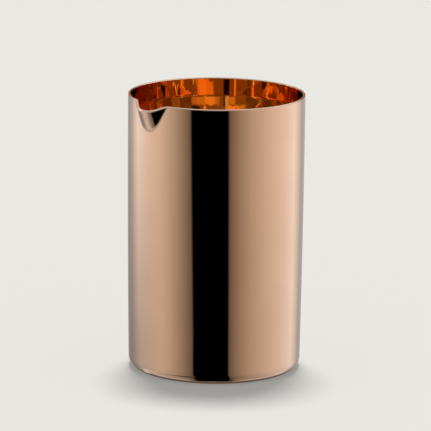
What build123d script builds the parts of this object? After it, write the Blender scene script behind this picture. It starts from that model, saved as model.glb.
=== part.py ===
from build123d import *
import os
from math import cos, radians, sin, sqrt, tan

# A handleless, vacuum-insulated pouring vessel, in millimetres.
# It stands on z = 0 with its axis on +Z, and its pouring lip faces -Y.
# Two thin drawn skins are welded to each other only at the lip. The outer skin
# turns in under the vessel and up into a collar, which a pressed plate closes.

# Driving dimensions of the vessel.
HEIGHT = 142.0
RIM_RADIUS = 45.0
BASE_DRAW_IN = 1.04          # how much the wall's radius shrinks down to the corner
WALL_CONES = 3
CORNER_RADIUS = 5.5
SKIN = 0.6
SKIN_GAP = 0.05              # between the two skins just under the lip weld
LINER_LAND = 9.5             # straight mouth of the liner, against the outer skin
LINER_DRAFT = 3.0            # degrees, below the mouth; it opens the insulating space
LINER_FLOOR_Z = 9.0          # underside of the liner's floor
LINER_CORNER_RADIUS = 12.0
LIP_BEAD_HEIGHT = 0.6

# Driving dimensions of the pouring lip, which is pressed through both skins.
SPOUT_HALF_WIDTH = 12.7      # at the rim, where its flanks leave the round wall
SPOUT_REACH = 5.4            # past the round wall, measured at the rim's level
SPOUT_NOSE_RADIUS = 12.0
SPOUT_SLOPE = 0.385          # how far the nose runs back for each millimetre down
SPOUT_RIM_DIP = 31.0         # degrees that the rim turns down along the spout
SPOUT_FLANK_ANGLE = 48.0     # degrees between each flank and the spout's own axis
SPOUT_RUN_DOWN = 22.0        # far enough down for the nose to end inside the wall
SPOUT_ROOT_DEPTH = 7.0       # how far inside the rim the pressed shape is closed

# The closed underside.
COLLAR_RADIUS = 34.0
COLLAR_HEIGHT = 5.0
COLLAR_EDGE_ROUND = 0.5
PLATE_THICKNESS = 0.8
WELD_BEAD = 0.5
FIT_GAP = 0.05
COVER_THICKNESS = 0.6
COVER_SKIRT_HEIGHT = 2.6
COVER_EDGE_ROUND = 0.4

# What the sealed space holds.
PINHOLE_RADIUS = 0.8
SEAL_RADIUS = 3.0
SEAL_HEIGHT = 0.9
FOIL_CLEARANCE = 0.2
FOIL_THICKNESS = 0.1
FOIL_BOTTOM_Z = 24.0
FOIL_TOP_Z = 118.0
GETTER_OFFSET = 14.0         # clear of the pinhole under the middle of the floor
GETTER_RADIUS = 4.0
GETTER_THICKNESS = 1.5
CLIP_SHEET = 0.3
CLIP_FLANGE = 1.5
CLIP_WINDOW_RADIUS = 2.5

LINER_RIM_RADIUS = RIM_RADIUS - SKIN - SKIN_GAP
SKIN_TOP_Z = HEIGHT - LIP_BEAD_HEIGHT
ABOVE = 10.0                 # how far the cutting shapes pass the vessel


def ring(inner_radius, outer_radius, low_z, high_z):
    """A plain washer about the vessel's axis; inner_radius 0 makes a disc."""
    solid = Pos(0, 0, low_z) * extrude(Circle(outer_radius), high_z - low_z)
    if inner_radius > 0:
        solid -= Pos(0, 0, low_z) * extrude(Circle(inner_radius), high_z - low_z)
    return solid


def liner_wall_radius(z):
    """Radius of the liner's outer face: a straight mouth with a cone below it."""
    below_land = max(0, HEIGHT - LINER_LAND - z)
    return LINER_RIM_RADIUS - below_land * tan(radians(LINER_DRAFT))


def outer_wall_radius(z, inset):
    """Radius of the outer skin's long wall, which draws in slightly towards the foot."""
    rise = (z - CORNER_RADIUS) / (HEIGHT - CORNER_RADIUS)
    return RIM_RADIUS - inset - BASE_DRAW_IN * (1 - rise) ** 2


def outer_fill(inset):
    """The outer skin's form, solid to the axis, with every face moved in by inset.
    Its wall is a few cones, one above the other, less than half a degree apart."""
    corner = CORNER_RADIUS - inset
    corner_r = outer_wall_radius(CORNER_RADIUS, inset) - corner
    corner_arc = RadiusArc((corner_r, inset), (corner_r + corner, CORNER_RADIUS), -corner)
    wall = []
    for step in range(WALL_CONES + 1):
        z = CORNER_RADIUS + (HEIGHT - CORNER_RADIUS) * step / WALL_CONES
        wall.append((outer_wall_radius(z, inset), z))
    outline = corner_arc + Polyline(*wall, (0, HEIGHT), (0, inset), (corner_r, inset))
    return revolve(make_face(Plane.XZ * outline), Axis.Z)


def liner_fill(inset):
    """The liner's form, solid to the axis, with every face moved in by inset."""
    floor_z = LINER_FLOOR_Z + inset
    rim_radius = LINER_RIM_RADIUS - inset
    corner_radius = liner_wall_radius(LINER_FLOOR_Z) - inset
    outline = Polyline(
        (0, floor_z),
        (corner_radius, floor_z),
        (rim_radius, HEIGHT - LINER_LAND),
        (rim_radius, HEIGHT),
        (0, HEIGHT),
        close=True,
    )
    profile = make_face(Plane.XZ * outline)
    solid = revolve(profile, Axis.Z)
    floor_edge = solid.edges().filter_by(GeomType.CIRCLE).group_by(Axis.Z)[0]
    return fillet(floor_edge, LINER_CORNER_RADIUS - inset)


def spout_fill(inset):
    """The pressed pouring lip: a round-nosed V, run downwards and back into the wall."""
    angle = radians(SPOUT_FLANK_ANGLE)
    nose_radius = SPOUT_NOSE_RADIUS - inset
    nose_centre = RIM_RADIUS + SPOUT_REACH - SPOUT_NOSE_RADIUS
    nose_side = (nose_radius * cos(angle), nose_centre + nose_radius * sin(angle))
    root_y = RIM_RADIUS - SPOUT_ROOT_DEPTH
    root_x = nose_side[0] + (nose_side[1] - root_y) * tan(angle)
    nose = ThreePointArc(
        (-nose_side[0], -nose_side[1]),
        (0, -(nose_centre + nose_radius)),
        (nose_side[0], -nose_side[1]),
    )
    flanks = Polyline(
        (nose_side[0], -nose_side[1]),
        (root_x, -root_y),
        (-root_x, -root_y),
        (-nose_side[0], -nose_side[1]),
    )
    outline = Pos(0, 0, HEIGHT) * make_face(nose + flanks)
    run = Vector(0, SPOUT_SLOPE * SPOUT_RUN_DOWN, -SPOUT_RUN_DOWN)
    return extrude(outline, amount=run.length, dir=run.normalized())


def above_rim(drop):
    """All that lies above the rim's surface, which turns down along the spout."""
    hinge_y = -sqrt(RIM_RADIUS**2 - SPOUT_HALF_WIDTH**2)
    far_y = -(RIM_RADIUS + ABOVE)
    far_z = HEIGHT - drop + (far_y - hinge_y) * tan(radians(SPOUT_RIM_DIP))
    side = Polyline(
        (-far_y, HEIGHT - drop),
        (hinge_y, HEIGHT - drop),
        (far_y, far_z),
        (far_y, HEIGHT + ABOVE),
        (-far_y, HEIGHT + ABOVE),
        close=True,
    )
    return extrude(make_face(Plane.YZ * side), amount=RIM_RADIUS + ABOVE, both=True)


def outer_form(inset):
    return outer_fill(inset) + spout_fill(inset)


def liner_form(inset):
    return liner_fill(inset) + spout_fill(SKIN + SKIN_GAP + inset)


def make_outer_shell():
    """Outer skin with its pouring lip, rounded foot and turned-up collar."""
    shell = outer_form(0) - outer_form(SKIN) - above_rim(LIP_BEAD_HEIGHT)
    collar_bore = COLLAR_RADIUS - SKIN
    shell -= ring(0, COLLAR_RADIUS, -1, COLLAR_HEIGHT)
    shell += ring(collar_bore, COLLAR_RADIUS, 0, COLLAR_HEIGHT)
    shell -= ring(0, collar_bore, -1, COLLAR_HEIGHT)
    bore_edges = shell.edges().filter_by(GeomType.CIRCLE).filter_by(
        lambda edge: abs(edge.radius - collar_bore) < 0.01 and edge.center().Z < 0.01
    )
    return fillet(bore_edges, COLLAR_EDGE_ROUND)


def make_inner_vessel():
    """Liner that holds the milk, with the same pouring lip pressed into it."""
    return liner_form(0) - liner_form(SKIN) - above_rim(LIP_BEAD_HEIGHT)


def make_lip_weld():
    """Weld bead that joins both skins all round the rim, ground to a round lip."""
    bead = outer_form(0) - liner_form(SKIN) - above_rim(0)
    below = above_rim(LIP_BEAD_HEIGHT)
    return bead & below


def make_heat_shield_foil():
    """Foil sleeve round the liner, which reflects its heat back."""
    inner = FOIL_CLEARANCE
    outer = inner + FOIL_THICKNESS
    section = Polyline(
        (liner_wall_radius(FOIL_BOTTOM_Z) + inner, FOIL_BOTTOM_Z),
        (liner_wall_radius(FOIL_BOTTOM_Z) + outer, FOIL_BOTTOM_Z),
        (liner_wall_radius(FOIL_TOP_Z) + outer, FOIL_TOP_Z),
        (liner_wall_radius(FOIL_TOP_Z) + inner, FOIL_TOP_Z),
        close=True,
    )
    return revolve(make_face(Plane.XZ * section), Axis.Z)


def make_getter_pill():
    """Gas-absorbing pill that keeps the vacuum."""
    top_z = LINER_FLOOR_Z - FIT_GAP
    pill = ring(0, GETTER_RADIUS, top_z - GETTER_THICKNESS, top_z)
    return Pos(GETTER_OFFSET, 0, 0) * pill


def make_getter_clip():
    """Sheet pan spot-welded under the liner's floor, with a window for the pill."""
    bore = GETTER_RADIUS + FIT_GAP
    pan_top = LINER_FLOOR_Z - GETTER_THICKNESS - 2 * FIT_GAP
    clip = ring(CLIP_WINDOW_RADIUS, bore + CLIP_SHEET, pan_top - CLIP_SHEET, pan_top)
    clip += ring(bore, bore + CLIP_SHEET, pan_top - CLIP_SHEET, LINER_FLOOR_Z)
    clip += ring(bore, bore + CLIP_FLANGE, LINER_FLOOR_Z - CLIP_SHEET, LINER_FLOOR_Z)
    return Pos(GETTER_OFFSET, 0, 0) * clip


def make_base_plate():
    """Plate that closes the insulating space, with the pinhole it is pumped out by."""
    edge_radius = COLLAR_RADIUS - SKIN - FIT_GAP
    plate = ring(0, edge_radius, COLLAR_HEIGHT - PLATE_THICKNESS, COLLAR_HEIGHT)
    return plate - ring(0, PINHOLE_RADIUS, 0, COLLAR_HEIGHT)


def make_base_weld():
    """Weld bead over the joint between the collar and the base plate."""
    middle = COLLAR_RADIUS - SKIN
    section = Pos(middle, COLLAR_HEIGHT) * Circle(WELD_BEAD)
    upper_half = Pos(middle, COLLAR_HEIGHT + WELD_BEAD) * Rectangle(4 * WELD_BEAD, 2 * WELD_BEAD)
    return revolve(Plane.XZ * (section & upper_half), Axis.Z)


def make_evacuation_seal():
    """Drop of solder glass that closes the pinhole from below."""
    plate_low = COLLAR_HEIGHT - PLATE_THICKNESS
    ball_radius = (SEAL_RADIUS**2 + SEAL_HEIGHT**2) / (2 * SEAL_HEIGHT)
    ball = Pos(0, 0, plate_low + ball_radius - SEAL_HEIGHT) * Sphere(ball_radius)
    drop = ball & ring(0, SEAL_RADIUS + 1, plate_low - 2 * SEAL_HEIGHT, plate_low)
    stem = ring(0, PINHOLE_RADIUS - FIT_GAP, plate_low, plate_low + PLATE_THICKNESS / 2)
    return drop + stem


def make_base_cover():
    """Shallow pan pushed into the collar, which hides and guards the seal."""
    edge_radius = COLLAR_RADIUS - SKIN - FIT_GAP
    pan = ring(0, edge_radius, 0, COVER_SKIRT_HEIGHT)
    pan = fillet(pan.edges().group_by(Axis.Z)[0], COVER_EDGE_ROUND)
    hollow = ring(0, edge_radius - COVER_THICKNESS, COVER_THICKNESS, COVER_SKIRT_HEIGHT)
    return pan - hollow


PIECES = {
    "outer_shell": make_outer_shell,
    "inner_vessel": make_inner_vessel,
    "lip_weld": make_lip_weld,
    "heat_shield_foil": make_heat_shield_foil,
    "getter_pill": make_getter_pill,
    "getter_clip": make_getter_clip,
    "base_plate": make_base_plate,
    "base_weld": make_base_weld,
    "evacuation_seal": make_evacuation_seal,
    "base_cover": make_base_cover,
}

os.makedirs("parts", exist_ok=True)
for name, make in PIECES.items():
    export_step(make(), f"parts/{name}.step")
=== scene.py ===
import math

import bpy
import numpy as np
from mathutils import Matrix, Vector


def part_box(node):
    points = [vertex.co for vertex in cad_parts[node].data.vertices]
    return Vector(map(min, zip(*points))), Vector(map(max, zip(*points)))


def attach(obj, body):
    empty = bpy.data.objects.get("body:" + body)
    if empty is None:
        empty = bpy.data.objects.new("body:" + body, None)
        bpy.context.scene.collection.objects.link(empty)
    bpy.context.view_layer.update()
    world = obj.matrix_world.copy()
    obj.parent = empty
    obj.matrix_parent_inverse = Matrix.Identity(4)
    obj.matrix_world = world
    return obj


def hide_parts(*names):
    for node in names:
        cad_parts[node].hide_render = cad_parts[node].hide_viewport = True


# A polished copper pouring beaker in a light tent. Everything is in metres, in the frame's own axes:
# +Z up, the vessel's axis on Z, its pouring lip facing -Y.

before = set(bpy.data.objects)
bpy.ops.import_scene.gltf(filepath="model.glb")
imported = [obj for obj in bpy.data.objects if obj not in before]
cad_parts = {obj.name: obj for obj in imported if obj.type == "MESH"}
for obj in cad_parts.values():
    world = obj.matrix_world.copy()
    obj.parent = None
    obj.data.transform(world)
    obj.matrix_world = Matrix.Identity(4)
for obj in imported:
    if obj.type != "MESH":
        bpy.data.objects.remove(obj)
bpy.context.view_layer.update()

# ---------------------------------------------------------------------------
# Sizes. The outer ones come from the frame, the rest repeat the part's own.

MM = 0.001
rim_low, rim_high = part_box("lip_weld")
HEIGHT = rim_high.z
RIM_RADIUS = rim_high.x
BASE_DRAW_IN = 1.04 * MM
CORNER_RADIUS = 5.5 * MM
SKIN = 0.6 * MM
SKIN_GAP = 0.05 * MM
LIP_BEAD_HEIGHT = 0.6 * MM
LINER_LAND = 9.5 * MM
LINER_DRAFT = math.radians(3.0)
LINER_FLOOR_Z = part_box("inner_vessel")[0].z
LINER_CORNER_RADIUS = 12.0 * MM
LINER_RIM_RADIUS = RIM_RADIUS - SKIN - SKIN_GAP

SPOUT_HALF_WIDTH = 12.7 * MM
SPOUT_REACH = 5.4 * MM
SPOUT_NOSE_RADIUS = 12.0 * MM
SPOUT_SLOPE = 0.385
SPOUT_RIM_DIP = math.radians(31.0)
SPOUT_FLANK_ANGLE = math.radians(48.0)
SPOUT_SIDE = math.radians(45.0)  # where the flanks stop, by now well inside the round wall
SPOUT_CREASE = 0.2 * MM          # how softly the flanks run into the round wall
SPOUT_RIM_BEND = 0.8 * MM        # how softly the rim turns down along the spout
LINER_BEND = 0.6 * MM            # how softly the liner's straight mouth runs into its taper

BUFFING_SEED = 3
BUFFING_WAVES = 16
BUFFING_SLOPE = 0.0015           # of each wave, so together about a quarter of a degree
BUFFING_SHORTEST_RISE = 35 * MM
BUFFING_FEWEST = 3               # waves counted round the liner
BUFFING_MOST = 40
BUFFING_PHASES = 6.28            # about a full turn

COLLAR_RADIUS = 34.0 * MM
COLLAR_HEIGHT = 5.0 * MM
COLLAR_EDGE_ROUND = 0.5 * MM
COVER_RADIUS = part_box("base_cover")[1].x
COVER_THICKNESS = 0.6 * MM
COVER_SKIRT_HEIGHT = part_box("base_cover")[1].z
COVER_EDGE_ROUND = 0.4 * MM

# How finely the meshes are divided.
SPOUT_ZONE = math.radians(26)    # each side of the pouring lip's middle
SPOUT_ZONE_COLUMNS = 208
OTHER_COLUMNS = 260
WALL_ROWS = 90                   # on the faces that are seen
HIDDEN_WALL_ROWS = 40            # on the faces between the skins
ROW_CROWDING = 1.8               # more than 1 crowds the rows towards the rim
LIP_ROWS = 17
RIM_ROUNDS = 8                   # of finding where the rim's plane meets a face
SHARP_CORNER = math.radians(50)  # between two faces; shading is smooth over anything flatter

# ---------------------------------------------------------------------------
# Surfaces of the vessel. Angles are measured round the axis from the pouring lip.


def spaced_angles():
    """Columns of every round mesh: close together across the pouring lip, wider elsewhere."""
    fine = np.linspace(-SPOUT_ZONE, SPOUT_ZONE, SPOUT_ZONE_COLUMNS, endpoint=False)
    coarse = np.linspace(SPOUT_ZONE, 2 * math.pi - SPOUT_ZONE, OTHER_COLUMNS, endpoint=False)
    return np.concatenate([fine, coarse])


ANGLES = spaced_angles()


def softer_max(a, b, blend):
    """The larger of a and b, with the corner between them rounded over about blend."""
    side = np.clip(0.5 + 0.5 * (a - b) / blend, 0, 1)
    return b + (a - b) * side + blend * side * (1 - side)


def outer_wall(z, inset):
    """Radius of the outer skin's round wall, which draws in a little towards the foot."""
    rise = np.clip((z - CORNER_RADIUS) / (HEIGHT - CORNER_RADIUS), 0, 1)
    return RIM_RADIUS - inset - BASE_DRAW_IN * (1 - rise) ** 2


def liner_wall(z, inset):
    """Radius of the liner's round wall: a straight mouth that runs softly into a taper."""
    below_land = softer_max(HEIGHT - LINER_LAND - z, np.zeros_like(z), LINER_BEND)
    return LINER_RIM_RADIUS - inset - below_land * math.tan(LINER_DRAFT)


def spout_wall(z, inset):
    """How far out the pressed V-shaped lip stands at each angle, and 0 away from it."""
    nose_radius = SPOUT_NOSE_RADIUS - inset
    centre = RIM_RADIUS + SPOUT_REACH - SPOUT_NOSE_RADIUS - SPOUT_SLOPE * (HEIGHT - z)
    across, along = np.abs(np.sin(ANGLES)), np.cos(ANGLES)
    flank_cos, flank_sin = math.cos(SPOUT_FLANK_ANGLE), math.sin(SPOUT_FLANK_ANGLE)
    near = along > math.cos(SPOUT_SIDE)
    flank = (centre * flank_sin + nose_radius) / (across * flank_cos + along * flank_sin + 1e-9)
    inside = np.clip(nose_radius**2 - (centre * across) ** 2, 0, None)
    nose = centre * along + np.sqrt(inside)
    turns_at = np.arctan2(nose_radius * flank_cos, centre + nose_radius * flank_sin)
    on_nose = np.arctan2(across, along) < turns_at
    return np.where(near, np.where(on_nose, nose, flank), 0)


def outer_face(z, inset):
    """Radius of the outer skin at each angle, pouring lip and all."""
    return softer_max(outer_wall(z, inset), spout_wall(z, inset), SPOUT_CREASE)


def buffing_waves(z):
    """How far polishing left the liner from true: a few hundredths of a millimetre."""
    chance = np.random.default_rng(BUFFING_SEED)
    depth = 0
    for _ in range(BUFFING_WAVES):
        round_count = chance.integers(BUFFING_FEWEST, BUFFING_MOST)
        climb = chance.uniform(-1, 1) * 2 * math.pi / BUFFING_SHORTEST_RISE
        size = BUFFING_SLOPE / math.hypot(round_count / RIM_RADIUS, climb)
        phase = chance.uniform(0, BUFFING_PHASES)
        depth = depth + size * np.sin(round_count * ANGLES + climb * z + phase)
    return depth


def liner_face(z, inset):
    """Radius of the liner at each angle, with its own pouring lip inside the outer one."""
    spout = spout_wall(z, SKIN + SKIN_GAP + inset)
    return softer_max(liner_wall(z, inset), spout, SPOUT_CREASE) + buffing_waves(z)


def rim_height(face, inset):
    """Height of the rim at each angle, on one face: flat, but dipping along the spout."""
    hinge = math.sqrt(RIM_RADIUS**2 - SPOUT_HALF_WIDTH**2)
    z = np.full_like(ANGLES, HEIGHT)
    away = np.abs(np.arctan2(np.sin(ANGLES), np.cos(ANGLES))) > SPOUT_ZONE
    for _ in range(RIM_ROUNDS):
        forward = face(z, inset) * np.cos(ANGLES) - hinge
        dip = softer_max(forward, np.zeros_like(z), SPOUT_RIM_BEND)
        z = HEIGHT - np.where(away, 0, dip) * math.tan(SPOUT_RIM_DIP)
    return z


# ---------------------------------------------------------------------------
# Meshes. A ring is (radius, height) at every angle; rings joined in order make a skin.


def ring_at(radius, z):
    """A ring of one radius at one height."""
    return np.broadcast_to(radius, ANGLES.shape), np.broadcast_to(z, ANGLES.shape)


def arc_rings(centre_r, centre_z, radius, start, end, count):
    """Rings along a circular arc in the plane through the axis, ends included."""
    rings = []
    for turn in np.linspace(start, end, count):
        rings.append(ring_at(centre_r + radius * math.cos(turn), centre_z + radius * math.sin(turn)))
    return rings


def wall_rings(face, inset, top, bottom, rows):
    """Rings down a wall from the rim's height at each angle to one level height.
    They crowd together near the rim, where the pouring lip is."""
    rings = []
    for share in np.linspace(0, 1, rows):
        z = top + (bottom - top) * share**ROW_CROWDING
        rings.append((face(z, inset), z))
    return rings


def skin_mesh(name, rings, closed):
    """Joins rings into a smooth closed mesh. With closed, the last ring meets the first;
    otherwise the first and last rings are each closed by one point on the axis."""
    count = len(ANGLES)
    points = []
    for radius, z in rings:
        points.append(np.stack([radius * np.sin(ANGLES), -radius * np.cos(ANGLES), z], axis=1))
    points = np.concatenate(points)
    faces = []
    for row in range(len(rings) if closed else len(rings) - 1):
        upper, lower = row * count, (row + 1) % len(rings) * count
        for i in range(count):
            j = (i + 1) % count
            faces.append((upper + i, lower + i, lower + j, upper + j))
    if not closed:
        first, last = len(points), len(points) + 1
        ends = [[0, 0, rings[0][1][0]], [0, 0, rings[-1][1][0]]]
        points = np.concatenate([points, ends])
        final = (len(rings) - 1) * count
        for i in range(count):
            j = (i + 1) % count
            faces.append((first, i, j))
            faces.append((last, final + j, final + i))
    mesh = bpy.data.meshes.new(name)
    mesh.from_pydata(points.tolist(), [], faces)
    mesh.shade_smooth()
    mesh.set_sharp_from_angle(angle=SHARP_CORNER)
    mesh.validate()
    piece = bpy.data.objects.new(name, mesh)
    bpy.context.scene.collection.objects.link(piece)
    return piece


def make_outer_shell():
    """Outer skin: down the outside, round the foot, up the collar and back up the inside."""
    top = rim_height(outer_face, 0) - LIP_BEAD_HEIGHT
    inner_top = rim_height(outer_face, SKIN) - LIP_BEAD_HEIGHT
    foot_r = RIM_RADIUS - BASE_DRAW_IN - CORNER_RADIUS
    bore = COLLAR_RADIUS - SKIN
    edge = COLLAR_EDGE_ROUND
    rings = wall_rings(outer_face, 0, top, CORNER_RADIUS, WALL_ROWS)
    rings += arc_rings(foot_r, CORNER_RADIUS, CORNER_RADIUS, 0, -math.pi / 2, 24)[1:]
    rings += [ring_at(foot_r - share * (foot_r - bore - edge), 0) for share in (0.25, 0.5, 0.75)]
    rings += arc_rings(bore + edge, edge, edge, -math.pi / 2, -math.pi, 6)
    rings += [ring_at(bore, COLLAR_HEIGHT / 2), ring_at(bore, COLLAR_HEIGHT)]
    rings += [ring_at(COLLAR_RADIUS, COLLAR_HEIGHT), ring_at(COLLAR_RADIUS, SKIN)]
    inside_corner = CORNER_RADIUS - SKIN
    rings += arc_rings(foot_r, CORNER_RADIUS, inside_corner, -math.pi / 2, 0, 8)
    rings += wall_rings(outer_face, SKIN, inner_top, CORNER_RADIUS, HIDDEN_WALL_ROWS)[-2::-1]
    return skin_mesh("outer_shell_skin", rings, closed=True)


def liner_rings(inset, wall_rows, corner_rows):
    """One face of the liner, from the rim down to the middle of its floor."""
    floor_z = LINER_FLOOR_Z + inset
    corner = LINER_CORNER_RADIUS - inset
    floor_r = liner_wall(LINER_FLOOR_Z, inset)
    centre_r = floor_r - corner * (1 - math.sin(LINER_DRAFT)) / math.cos(LINER_DRAFT)
    centre_r += inset * math.tan(LINER_DRAFT)
    centre_z = floor_z + corner
    wall_end = centre_z - corner * math.sin(LINER_DRAFT)
    top = rim_height(liner_face, inset) - LIP_BEAD_HEIGHT
    rings = wall_rings(liner_face, inset, top, wall_end, wall_rows)
    turns = (-LINER_DRAFT, -math.pi / 2)
    rings += arc_rings(centre_r, centre_z, corner, *turns, corner_rows)[1:]
    rings += [ring_at(centre_r * share, floor_z) for share in (0.75, 0.5, 0.25, 0.08)]
    return rings


def make_inner_vessel():
    """Liner: from the middle of its underside up the outside, over the rim and down the inside."""
    outside = liner_rings(0, HIDDEN_WALL_ROWS, corner_rows=10)[::-1]
    inside = liner_rings(SKIN, WALL_ROWS, corner_rows=28)
    return skin_mesh("inner_vessel_skin", outside + inside, closed=False)


def make_lip():
    """The ground and polished weld: a bead with rounded shoulders that bridges both skins."""
    outer_z = rim_height(outer_face, 0) - LIP_BEAD_HEIGHT
    inner_z = rim_height(liner_face, SKIN) - LIP_BEAD_HEIGHT
    outer_r, inner_r = outer_face(outer_z, 0), liner_face(inner_z, SKIN)
    rings = []
    for turn in np.linspace(0, math.pi, LIP_ROWS):
        share = 0.5 - 0.5 * math.cos(turn)
        bead = LIP_BEAD_HEIGHT * math.sqrt(math.sin(turn))
        radius = outer_r + (inner_r - outer_r) * share
        z = outer_z + (inner_z - outer_z) * share + bead
        rings.append((radius, z))
    return skin_mesh("polished_lip", rings[::-1], closed=True)


def make_base_cover():
    """Pan under the foot: a disc with a rounded edge and a skirt that grips the collar."""
    edge, inner = COVER_EDGE_ROUND, COVER_RADIUS - COVER_THICKNESS
    rings = [ring_at((COVER_RADIUS - edge) * share, 0) for share in (0.1, 0.3, 0.5, 0.7, 0.9)]
    rings += arc_rings(COVER_RADIUS - edge, edge, edge, -math.pi / 2, 0, 6)
    rings += [ring_at(COVER_RADIUS, COVER_SKIRT_HEIGHT), ring_at(inner, COVER_SKIRT_HEIGHT)]
    rings += [ring_at(inner * share, COVER_THICKNESS) for share in (1.0, 0.7, 0.4, 0.1)]
    return skin_mesh("base_cover_pan", rings[::-1], closed=False)


# ---------------------------------------------------------------------------
# Materials


class Nodes:
    """Short-hand for building one material's nodes."""

    def __init__(self, name):
        self.material = bpy.data.materials.new(name)
        self.material.use_nodes = True
        self.tree = self.material.node_tree
        self.shader = self.tree.nodes["Principled BSDF"]

    def add(self, kind, **values):
        """A new node, with its inputs or its settings given by name."""
        node = self.tree.nodes.new(kind)
        for key, value in values.items():
            if key in node.inputs:
                node.inputs[key].default_value = value
            else:
                setattr(node, key, value)
        return node

    def link(self, source, target):
        self.tree.links.new(source, target)

    def noise(self, stretch, scale, detail):
        """Noise in the object's own space, drawn out along each axis by 1 / stretch."""
        place = self.add("ShaderNodeTexCoord")
        shape = self.add("ShaderNodeMapping")
        shape.inputs["Scale"].default_value = stretch
        noise = self.add("ShaderNodeTexNoise", Scale=scale, Detail=detail)
        self.link(place.outputs["Object"], shape.inputs["Vector"])
        self.link(shape.outputs["Vector"], noise.inputs["Vector"])
        return noise.outputs["Fac"]

    def between(self, factor, low, high):
        """factor 0 to 1 mapped to low to high."""
        spread = self.add("ShaderNodeMapRange")
        spread.inputs["To Min"].default_value = low
        spread.inputs["To Max"].default_value = high
        self.link(factor, spread.inputs["Value"])
        return spread.outputs["Result"]

    def colours(self, factor, *stops):
        """A ramp of (position, colour) stops."""
        ramp = self.add("ShaderNodeValToRGB")
        elements = ramp.color_ramp.elements
        while len(elements) < len(stops):
            elements.new(0.5)
        for element, (position, colour) in zip(elements, stops):
            element.position = position
            element.color = (*colour, 1)
        self.link(factor, ramp.inputs["Fac"])
        return ramp.outputs["Color"]

    def bump(self, height, distance, after=None):
        """A normal that follows height, 0 to 1, as relief distance deep, on top of after."""
        bump = self.add("ShaderNodeBump", Strength=1.0, Distance=distance)
        self.link(height, bump.inputs["Height"])
        if after is not None:
            self.link(after, bump.inputs["Normal"])
        return bump.outputs["Normal"]


def mirror_copper(name, colour, wave_height, haziest):
    """Copper plating polished to a mirror: a faint wave from drawing and buffing, hairline
    scratches round the body, and a haze that comes and goes."""
    n = Nodes(name)
    tint = n.noise((1, 1, 1), 45, 2)
    darker = tuple(0.97 * c for c in colour)
    n.link(n.colours(tint, (0.35, darker), (0.65, colour)), n.shader.inputs["Base Color"])
    n.shader.inputs["Metallic"].default_value = 1.0
    haze = n.noise((1, 1, 0.4), 130, 4)
    n.link(n.between(haze, 0.4 * haziest, haziest), n.shader.inputs["Roughness"])
    wave = n.noise((1, 1, 0.25), 55, 1)
    hairline = n.noise((60, 60, 4000), 1, 3)
    waved = n.bump(wave, wave_height)
    n.link(n.bump(hairline, 0.0004 * MM, waved), n.shader.inputs["Normal"])
    return n.material


def spun_copper(name, colour):
    """Copper plating on a spun disc: fine rings from the lathe and a satin sheen."""
    n = Nodes(name)
    tint = n.noise((1, 1, 1), 60, 3)
    darker = tuple(0.88 * c for c in colour)
    n.link(n.colours(tint, (0.3, darker), (0.7, colour)), n.shader.inputs["Base Color"])
    n.shader.inputs["Metallic"].default_value = 1.0
    place = n.add("ShaderNodeTexCoord")
    rings = n.add("ShaderNodeTexWave", wave_type="RINGS", rings_direction="Z", Scale=900)
    rings.inputs["Distortion"].default_value = 1.5
    rings.inputs["Detail"].default_value = 3
    n.link(place.outputs["Object"], rings.inputs["Vector"])
    n.link(n.between(rings.outputs["Fac"], 0.18, 0.32), n.shader.inputs["Roughness"])
    n.link(n.bump(rings.outputs["Fac"], 0.006 * MM), n.shader.inputs["Normal"])
    return n.material


def bare_metal(name, colour, roughness, grain):
    """Unpolished sheet metal: rolled grain, and roughness that follows it."""
    n = Nodes(name)
    streaks = n.noise((1, 1, 18), grain, 4)
    darker = tuple(0.8 * c for c in colour)
    n.link(n.colours(streaks, (0.3, darker), (0.7, colour)), n.shader.inputs["Base Color"])
    n.shader.inputs["Metallic"].default_value = 1.0
    n.link(n.between(streaks, 0.7 * roughness, 1.2 * roughness), n.shader.inputs["Roughness"])
    n.link(n.bump(streaks, 0.02 * MM), n.shader.inputs["Normal"])
    return n.material


def pressed_powder(name):
    """Dark pressed metal powder."""
    n = Nodes(name)
    grains = n.noise((1, 1, 1), 3000, 2)
    n.link(n.colours(grains, (0.3, (0.06, 0.06, 0.065)), (0.7, (0.16, 0.16, 0.17))),
           n.shader.inputs["Base Color"])
    n.shader.inputs["Metallic"].default_value = 0.4
    n.shader.inputs["Roughness"].default_value = 0.75
    n.link(n.bump(grains, 0.05 * MM), n.shader.inputs["Normal"])
    return n.material


def solder_glass(name):
    """Nearly black glass that was melted into place."""
    n = Nodes(name)
    cloud = n.noise((1, 1, 1), 500, 3)
    n.link(n.colours(cloud, (0.3, (0.02, 0.03, 0.025)), (0.7, (0.05, 0.07, 0.06))),
           n.shader.inputs["Base Color"])
    n.shader.inputs["Roughness"].default_value = 0.12
    n.shader.inputs["Coat Weight"].default_value = 0.5
    n.link(n.bump(cloud, 0.05 * MM), n.shader.inputs["Normal"])
    return n.material


def glowing(name, colour):
    """Something that only gives light, and mirrors and scatters none."""
    n = Nodes(name)
    n.shader.inputs["Base Color"].default_value = (0, 0, 0, 1)
    n.shader.inputs["Specular IOR Level"].default_value = 0.0
    n.shader.inputs["Emission Color"].default_value = (*colour, 1)
    n.shader.inputs["Emission Strength"].default_value = 1.0
    return n


def paint(piece, material):
    """Gives a piece one material, in place of any it has."""
    piece.data.materials.clear()
    piece.data.materials.append(material)


# ---------------------------------------------------------------------------
# The object


def dress(piece, node, material):
    """Puts a new piece in its CAD node's place, on the one body there is."""
    paint(piece, material)
    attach(piece, "root")
    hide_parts(node)


outside_copper = mirror_copper("outside_copper", (0.94, 0.63, 0.43), 0.01 * MM, 0.045)
liner_copper = mirror_copper("liner_copper", (0.96, 0.72, 0.42), 0.004 * MM, 0.012)
lip_copper = mirror_copper("lip_copper", (0.94, 0.67, 0.52), 0.005 * MM, 0.06)
underside_copper = spun_copper("underside_copper", (0.87, 0.57, 0.42))

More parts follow.
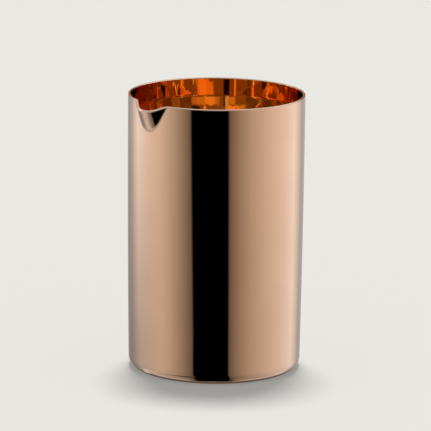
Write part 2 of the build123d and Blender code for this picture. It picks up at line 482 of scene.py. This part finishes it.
dress(make_outer_shell(), "outer_shell", outside_copper)
dress(make_inner_vessel(), "inner_vessel", liner_copper)
dress(make_lip(), "lip_weld", lip_copper)
dress(make_base_cover(), "base_cover", underside_copper)

mill_steel = bare_metal("mill_steel", (0.62, 0.61, 0.59), 0.35, 400)
HIDDEN_FINISHES = {
    "base_plate": mill_steel,
    "base_weld": mill_steel,
    "getter_clip": mill_steel,
    "heat_shield_foil": bare_metal("bright_foil", (0.90, 0.58, 0.42), 0.16, 250),
    "getter_pill": pressed_powder("getter_powder"),
    "evacuation_seal": solder_glass("solder_glass"),
}
for node, material in HIDDEN_FINISHES.items():
    paint(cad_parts[node], material)

# ---------------------------------------------------------------------------
# Camera

CAMERA_AZIMUTH = math.radians(49.0)
CAMERA_ELEVATION = math.radians(12.42)
CAMERA_ROLL = math.radians(0.62)
CAMERA_DISTANCE = 45 * RIM_RADIUS
CAMERA_TARGET = Vector((0, 0, 1.744 * RIM_RADIUS))
CAMERA_LENS = 331.3


def make_camera():
    """A long lens at the vessel's right front, a little above it and rolled very slightly."""
    back = Vector((
        math.sin(CAMERA_AZIMUTH) * math.cos(CAMERA_ELEVATION),
        -math.cos(CAMERA_AZIMUTH) * math.cos(CAMERA_ELEVATION),
        math.sin(CAMERA_ELEVATION),
    ))
    level = Vector((math.cos(CAMERA_AZIMUTH), math.sin(CAMERA_AZIMUTH), 0))
    upright = back.cross(level)
    right = math.cos(CAMERA_ROLL) * level + math.sin(CAMERA_ROLL) * upright
    up = back.cross(right)
    data = bpy.data.cameras.new("camera")
    data.lens = CAMERA_LENS
    data.sensor_width = 36
    camera = bpy.data.objects.new("camera", data)
    turn = Matrix((right, up, back)).transposed().to_4x4()
    camera.matrix_world = Matrix.Translation(CAMERA_TARGET + back * CAMERA_DISTANCE) @ turn
    bpy.context.scene.collection.objects.link(camera)
    bpy.context.scene.camera = camera


make_camera()

# ---------------------------------------------------------------------------
# Studio: a pale floor and backdrop, and a light tent that only the metal sees.

BACKDROP = (0.814, 0.806, 0.770)
FLOOR_SHADE = 0.14
SUN_SHARE = 0.55                  # of the floor's brightness
SUN_ELEVATION = math.radians(76)
SUN_WIDTH = math.radians(15)
FOOT_SHADE = (0.12, 0.10, 0.09)
FOOT_SHADE_RADIUS = RIM_RADIUS - 2.6 * MM
FOOT_SHADE_DROP = 0.2 * MM       # below the floor, so that it lies clear of the vessel
FLOOR_HALF_SIZE = 30             # metres, far past what the camera sees
TENT_RADIUS = 1.5
TENT_COLUMNS = 480
TENT_ROWS = 181                  # one for each degree


def make_backdrop():
    """An even pale surround, which the metal doesn't mirror."""
    world = bpy.data.worlds.new("backdrop")
    bpy.context.scene.world = world
    world.use_nodes = True
    sky = world.node_tree.nodes["Background"]
    sky.inputs["Color"].default_value = (*BACKDROP, 1)
    sky.inputs["Strength"].default_value = 1.0
    world.cycles_visibility.glossy = False


def make_floor():
    """A pale floor that runs into the backdrop: it glows, and the sun and sky light the rest."""
    size = FLOOR_HALF_SIZE
    mesh = bpy.data.meshes.new("floor")
    corners = [(-size, -size, 0), (size, -size, 0), (size, size, 0), (-size, size, 0)]
    mesh.from_pydata(corners, [], [(0, 1, 2, 3)])
    floor = bpy.data.objects.new("floor", mesh)
    bpy.context.scene.collection.objects.link(floor)
    n = Nodes("floor")
    n.shader.inputs["Base Color"].default_value = (FLOOR_SHADE, FLOOR_SHADE, FLOOR_SHADE, 1)
    n.shader.inputs["Roughness"].default_value = 1.0
    n.shader.inputs["Specular IOR Level"].default_value = 0.0
    n.shader.inputs["Emission Color"].default_value = (*BACKDROP, 1)
    n.shader.inputs["Emission Strength"].default_value = 1 - FLOOR_SHADE - SUN_SHARE
    paint(floor, n.material)
    floor.visible_glossy = False


def show_only_in_metal(thing):
    """Leaves something out of the picture and the shadows, but not out of the reflections."""
    thing.visible_camera = False
    thing.visible_diffuse = False
    thing.visible_shadow = False


def make_foot_shade():
    """The dark under the vessel, which only the rounded edge of its foot mirrors."""
    mesh = bpy.data.meshes.new("foot_shade")
    across, along = FOOT_SHADE_RADIUS * np.sin(ANGLES), FOOT_SHADE_RADIUS * np.cos(ANGLES)
    rim = np.stack([across, along, np.full_like(ANGLES, -FOOT_SHADE_DROP)], axis=1)
    mesh.from_pydata(rim.tolist(), [], [tuple(range(len(rim)))])
    shade = bpy.data.objects.new("foot_shade", mesh)
    bpy.context.scene.collection.objects.link(shade)
    paint(shade, glowing("foot_shade", FOOT_SHADE).material)
    show_only_in_metal(shade)


def make_sun():
    """A broad soft light from high behind the vessel, so its shadow falls towards the camera."""
    data = bpy.data.lights.new("sun", "SUN")
    data.angle = SUN_WIDTH
    data.color = tuple(c / BACKDROP[0] for c in BACKDROP)
    data.energy = SUN_SHARE * BACKDROP[0] * math.pi / (FLOOR_SHADE * math.sin(SUN_ELEVATION))
    sun = bpy.data.objects.new("sun", data)
    sun.rotation_euler = (math.pi / 2 - SUN_ELEVATION, 0, CAMERA_AZIMUTH + math.pi)
    sun.visible_glossy = False
    bpy.context.scene.collection.objects.link(sun)


# The tent's brightness at the horizon, by degrees away from the dark gap that the camera looks
# through, on the camera's right and on its left.
TENT_RIGHT = [(0, 0.15), (15, 0.35), (30, 0.5), (60, 0.7), (105, 0.95), (130, 0.45), (165, 0.5)]
TENT_LEFT = [(0, 0.15), (15, 0.35), (45, 0.7), (90, 0.9), (110, 0.45), (125, 0.35), (150, 0.5)]
# Where the gap's two edges are at each elevation, in degrees to the camera's right. It opens
# out straight below, and on its left where the flank of the pouring lip mirrors it.
GAP_RIGHT = [(-80, 90), (-68, 35), (-40, 23), (-22, 20.5), (-8, 16)]
GAP_LEFT = [
    (-80, -90), (-68, -42), (-45, -29), (-43, -58), (-39, -58), (-37, -27), (-17, -28), (-8, -33),
]
GAP_SOFTNESS = 2.5
# The share of its light that the tent keeps at each elevation below the horizon, and how much
# dimmer still it is on the far left.
LOW_DIMMING = [(-62, 0.6), (-46, 0.6), (-43, 0.72), (-28, 0.76), (-17, 0.9), (-10, 1.0)]
FAR_LEFT = -120
FAR_LEFT_WIDTH = 60
FAR_LEFT_DIMMING = [(-34, 0), (-26, 0.45), (-17, 0.45), (-9, 0)]
# The light's colour below the horizon, by degrees to either side of the camera.
WARMTH = [(20, (1, 0.8, 0.65)), (65, (1, 0.92, 0.87)), (100, (1, 0.97, 1)), (120, (1, 1.05, 1.15))]


def ramp(stops, at):
    """The value at each place in at, read off straight lines between the stops."""
    return np.interp(at, [stop[0] for stop in stops], [stop[1] for stop in stops])


def wall_light(azimuth, elevation):
    """Brightness of the tent's wall below the horizon, which the outside of the vessel mirrors."""
    from_right = azimuth - ramp(GAP_RIGHT, elevation)
    from_left = ramp(GAP_LEFT, elevation) - azimuth
    light = np.where(azimuth > 0, ramp(TENT_RIGHT, from_right), ramp(TENT_LEFT, from_left))
    lit = np.clip(np.maximum(from_right, from_left) / GAP_SOFTNESS + 0.5, 0, 1)
    far_left = np.clip(1 - np.abs(azimuth - FAR_LEFT) / FAR_LEFT_WIDTH, 0, 1)
    falls_away = 1 - far_left * ramp(FAR_LEFT_DIMMING, elevation)
    return light * lit * falls_away * ramp(LOW_DIMMING, elevation)


def soft_box(azimuth, elevation, start, end, bottom, top, edge):
    """1 inside a panel of the tent and 0 outside, with edges that fade over edge degrees."""
    middle, half = (start + end) / 2, (end - start) / 2
    across = np.abs((azimuth - middle + 180) % 360 - 180)
    up = np.abs(elevation - (bottom + top) / 2)
    across = np.clip((half - across) / edge + 0.5, 0, 1)
    return across * np.clip((top - bottom) / 2 - up + 0.5, 0, 1)


# Panels above the horizon, which only the inside of the vessel and its lip mirror: start and
# end in degrees to the camera's right, bottom and top in degrees, edge, and added brightness.
PANELS = [
    (28, 128, 14.3, 30, 20, 0.70),
    (70, 112, 14.3, 30, 20, 0.15),
    (-92, -42, 14.6, 30, 10, -0.29),
    (-127, -110, 13, 30, 4, 0.85),
    (-185, -50, 3, 11.6, 30, 0.40),
    (-165, -120, 3, 11, 12, 0.30),
    (78, 106, 3, 11.6, 6, 0.45),
    (118, 150, 3, 14.3, 8, -0.20),
    (-45, 22, 3, 14.3, 10, -0.12),
]
PANEL_GROUND = 0.26
PANEL_WARMTH = (1, 0.58, 0.25)
PANEL_WARM_FROM, PANEL_WARM_TO = 2, 18
ROOF = [(0, 2.6), (3, 1), (17, 1), (19, 0.5), (21, 0.5), (24, 2.6)]  # times as bright, by elevation
DIMMEST = 0.01


def roof_light(azimuth, elevation):
    """Brightness of the tent above the horizon."""
    light = np.full_like(azimuth, PANEL_GROUND)
    for start, end, bottom, top, edge, added in PANELS:
        light += added * soft_box(azimuth, elevation, start, end, bottom, top, edge)
    return np.clip(light, DIMMEST, None) * ramp(ROOF, elevation)


def tent_colours(azimuth, elevation):
    """The tent's light at each point, as red, green, blue and 1."""
    below = elevation < 0
    light = np.where(below, wall_light(azimuth, elevation), roof_light(azimuth, elevation))
    side = np.abs(azimuth)
    warmth = np.stack(
        [ramp([(at, colour[part]) for at, colour in WARMTH], side) for part in range(3)], axis=-1
    )
    warmth = np.where(below[..., None], warmth, 1)
    on_panels = (elevation > PANEL_WARM_FROM) & (elevation < PANEL_WARM_TO)
    warmth = np.where(on_panels[..., None], PANEL_WARMTH, warmth)
    return np.concatenate([light[..., None] * warmth, np.ones_like(light)[..., None]], axis=-1)


def make_tent():
    """A light tent round everything, seen only in the metal: a ball whose inside glows."""
    azimuth, elevation = np.meshgrid(
        np.linspace(-180, 180, TENT_COLUMNS, endpoint=False), np.linspace(-90, 90, TENT_ROWS)
    )
    turn = np.radians(azimuth) + CAMERA_AZIMUTH
    rise = np.radians(elevation)
    points = np.stack([
        TENT_RADIUS * np.cos(rise) * np.sin(turn),
        -TENT_RADIUS * np.cos(rise) * np.cos(turn),
        TENT_RADIUS * np.sin(rise) + HEIGHT / 2,
    ], axis=-1)
    faces = []
    for row in range(TENT_ROWS - 1):
        low, high = row * TENT_COLUMNS, (row + 1) * TENT_COLUMNS
        for i in range(TENT_COLUMNS):
            j = (i + 1) % TENT_COLUMNS
            faces.append((low + i, low + j, high + j, high + i))
    mesh = bpy.data.meshes.new("tent")
    mesh.from_pydata(points.reshape(-1, 3).tolist(), [], faces)
    glow = mesh.attributes.new("glow", "FLOAT_COLOR", "POINT")
    glow.data.foreach_set("color", tent_colours(azimuth, elevation).ravel())
    tent = bpy.data.objects.new("tent", mesh)
    bpy.context.scene.collection.objects.link(tent)
    n = glowing("tent", (1, 1, 1))
    glow_node = n.add("ShaderNodeAttribute", attribute_name="glow")
    n.link(glow_node.outputs["Color"], n.shader.inputs["Emission Color"])
    n.material.cycles.emission_sampling = "NONE"
    paint(tent, n.material)
    show_only_in_metal(tent)


make_backdrop()
make_floor()
make_foot_shade()
make_sun()
make_tent()

scene = bpy.context.scene
scene.view_settings.view_transform = "Standard"
# The inside of the vessel mirrors itself many times over before the light gets out.
scene.cycles.max_bounces = 16
scene.cycles.glossy_bounces = 12
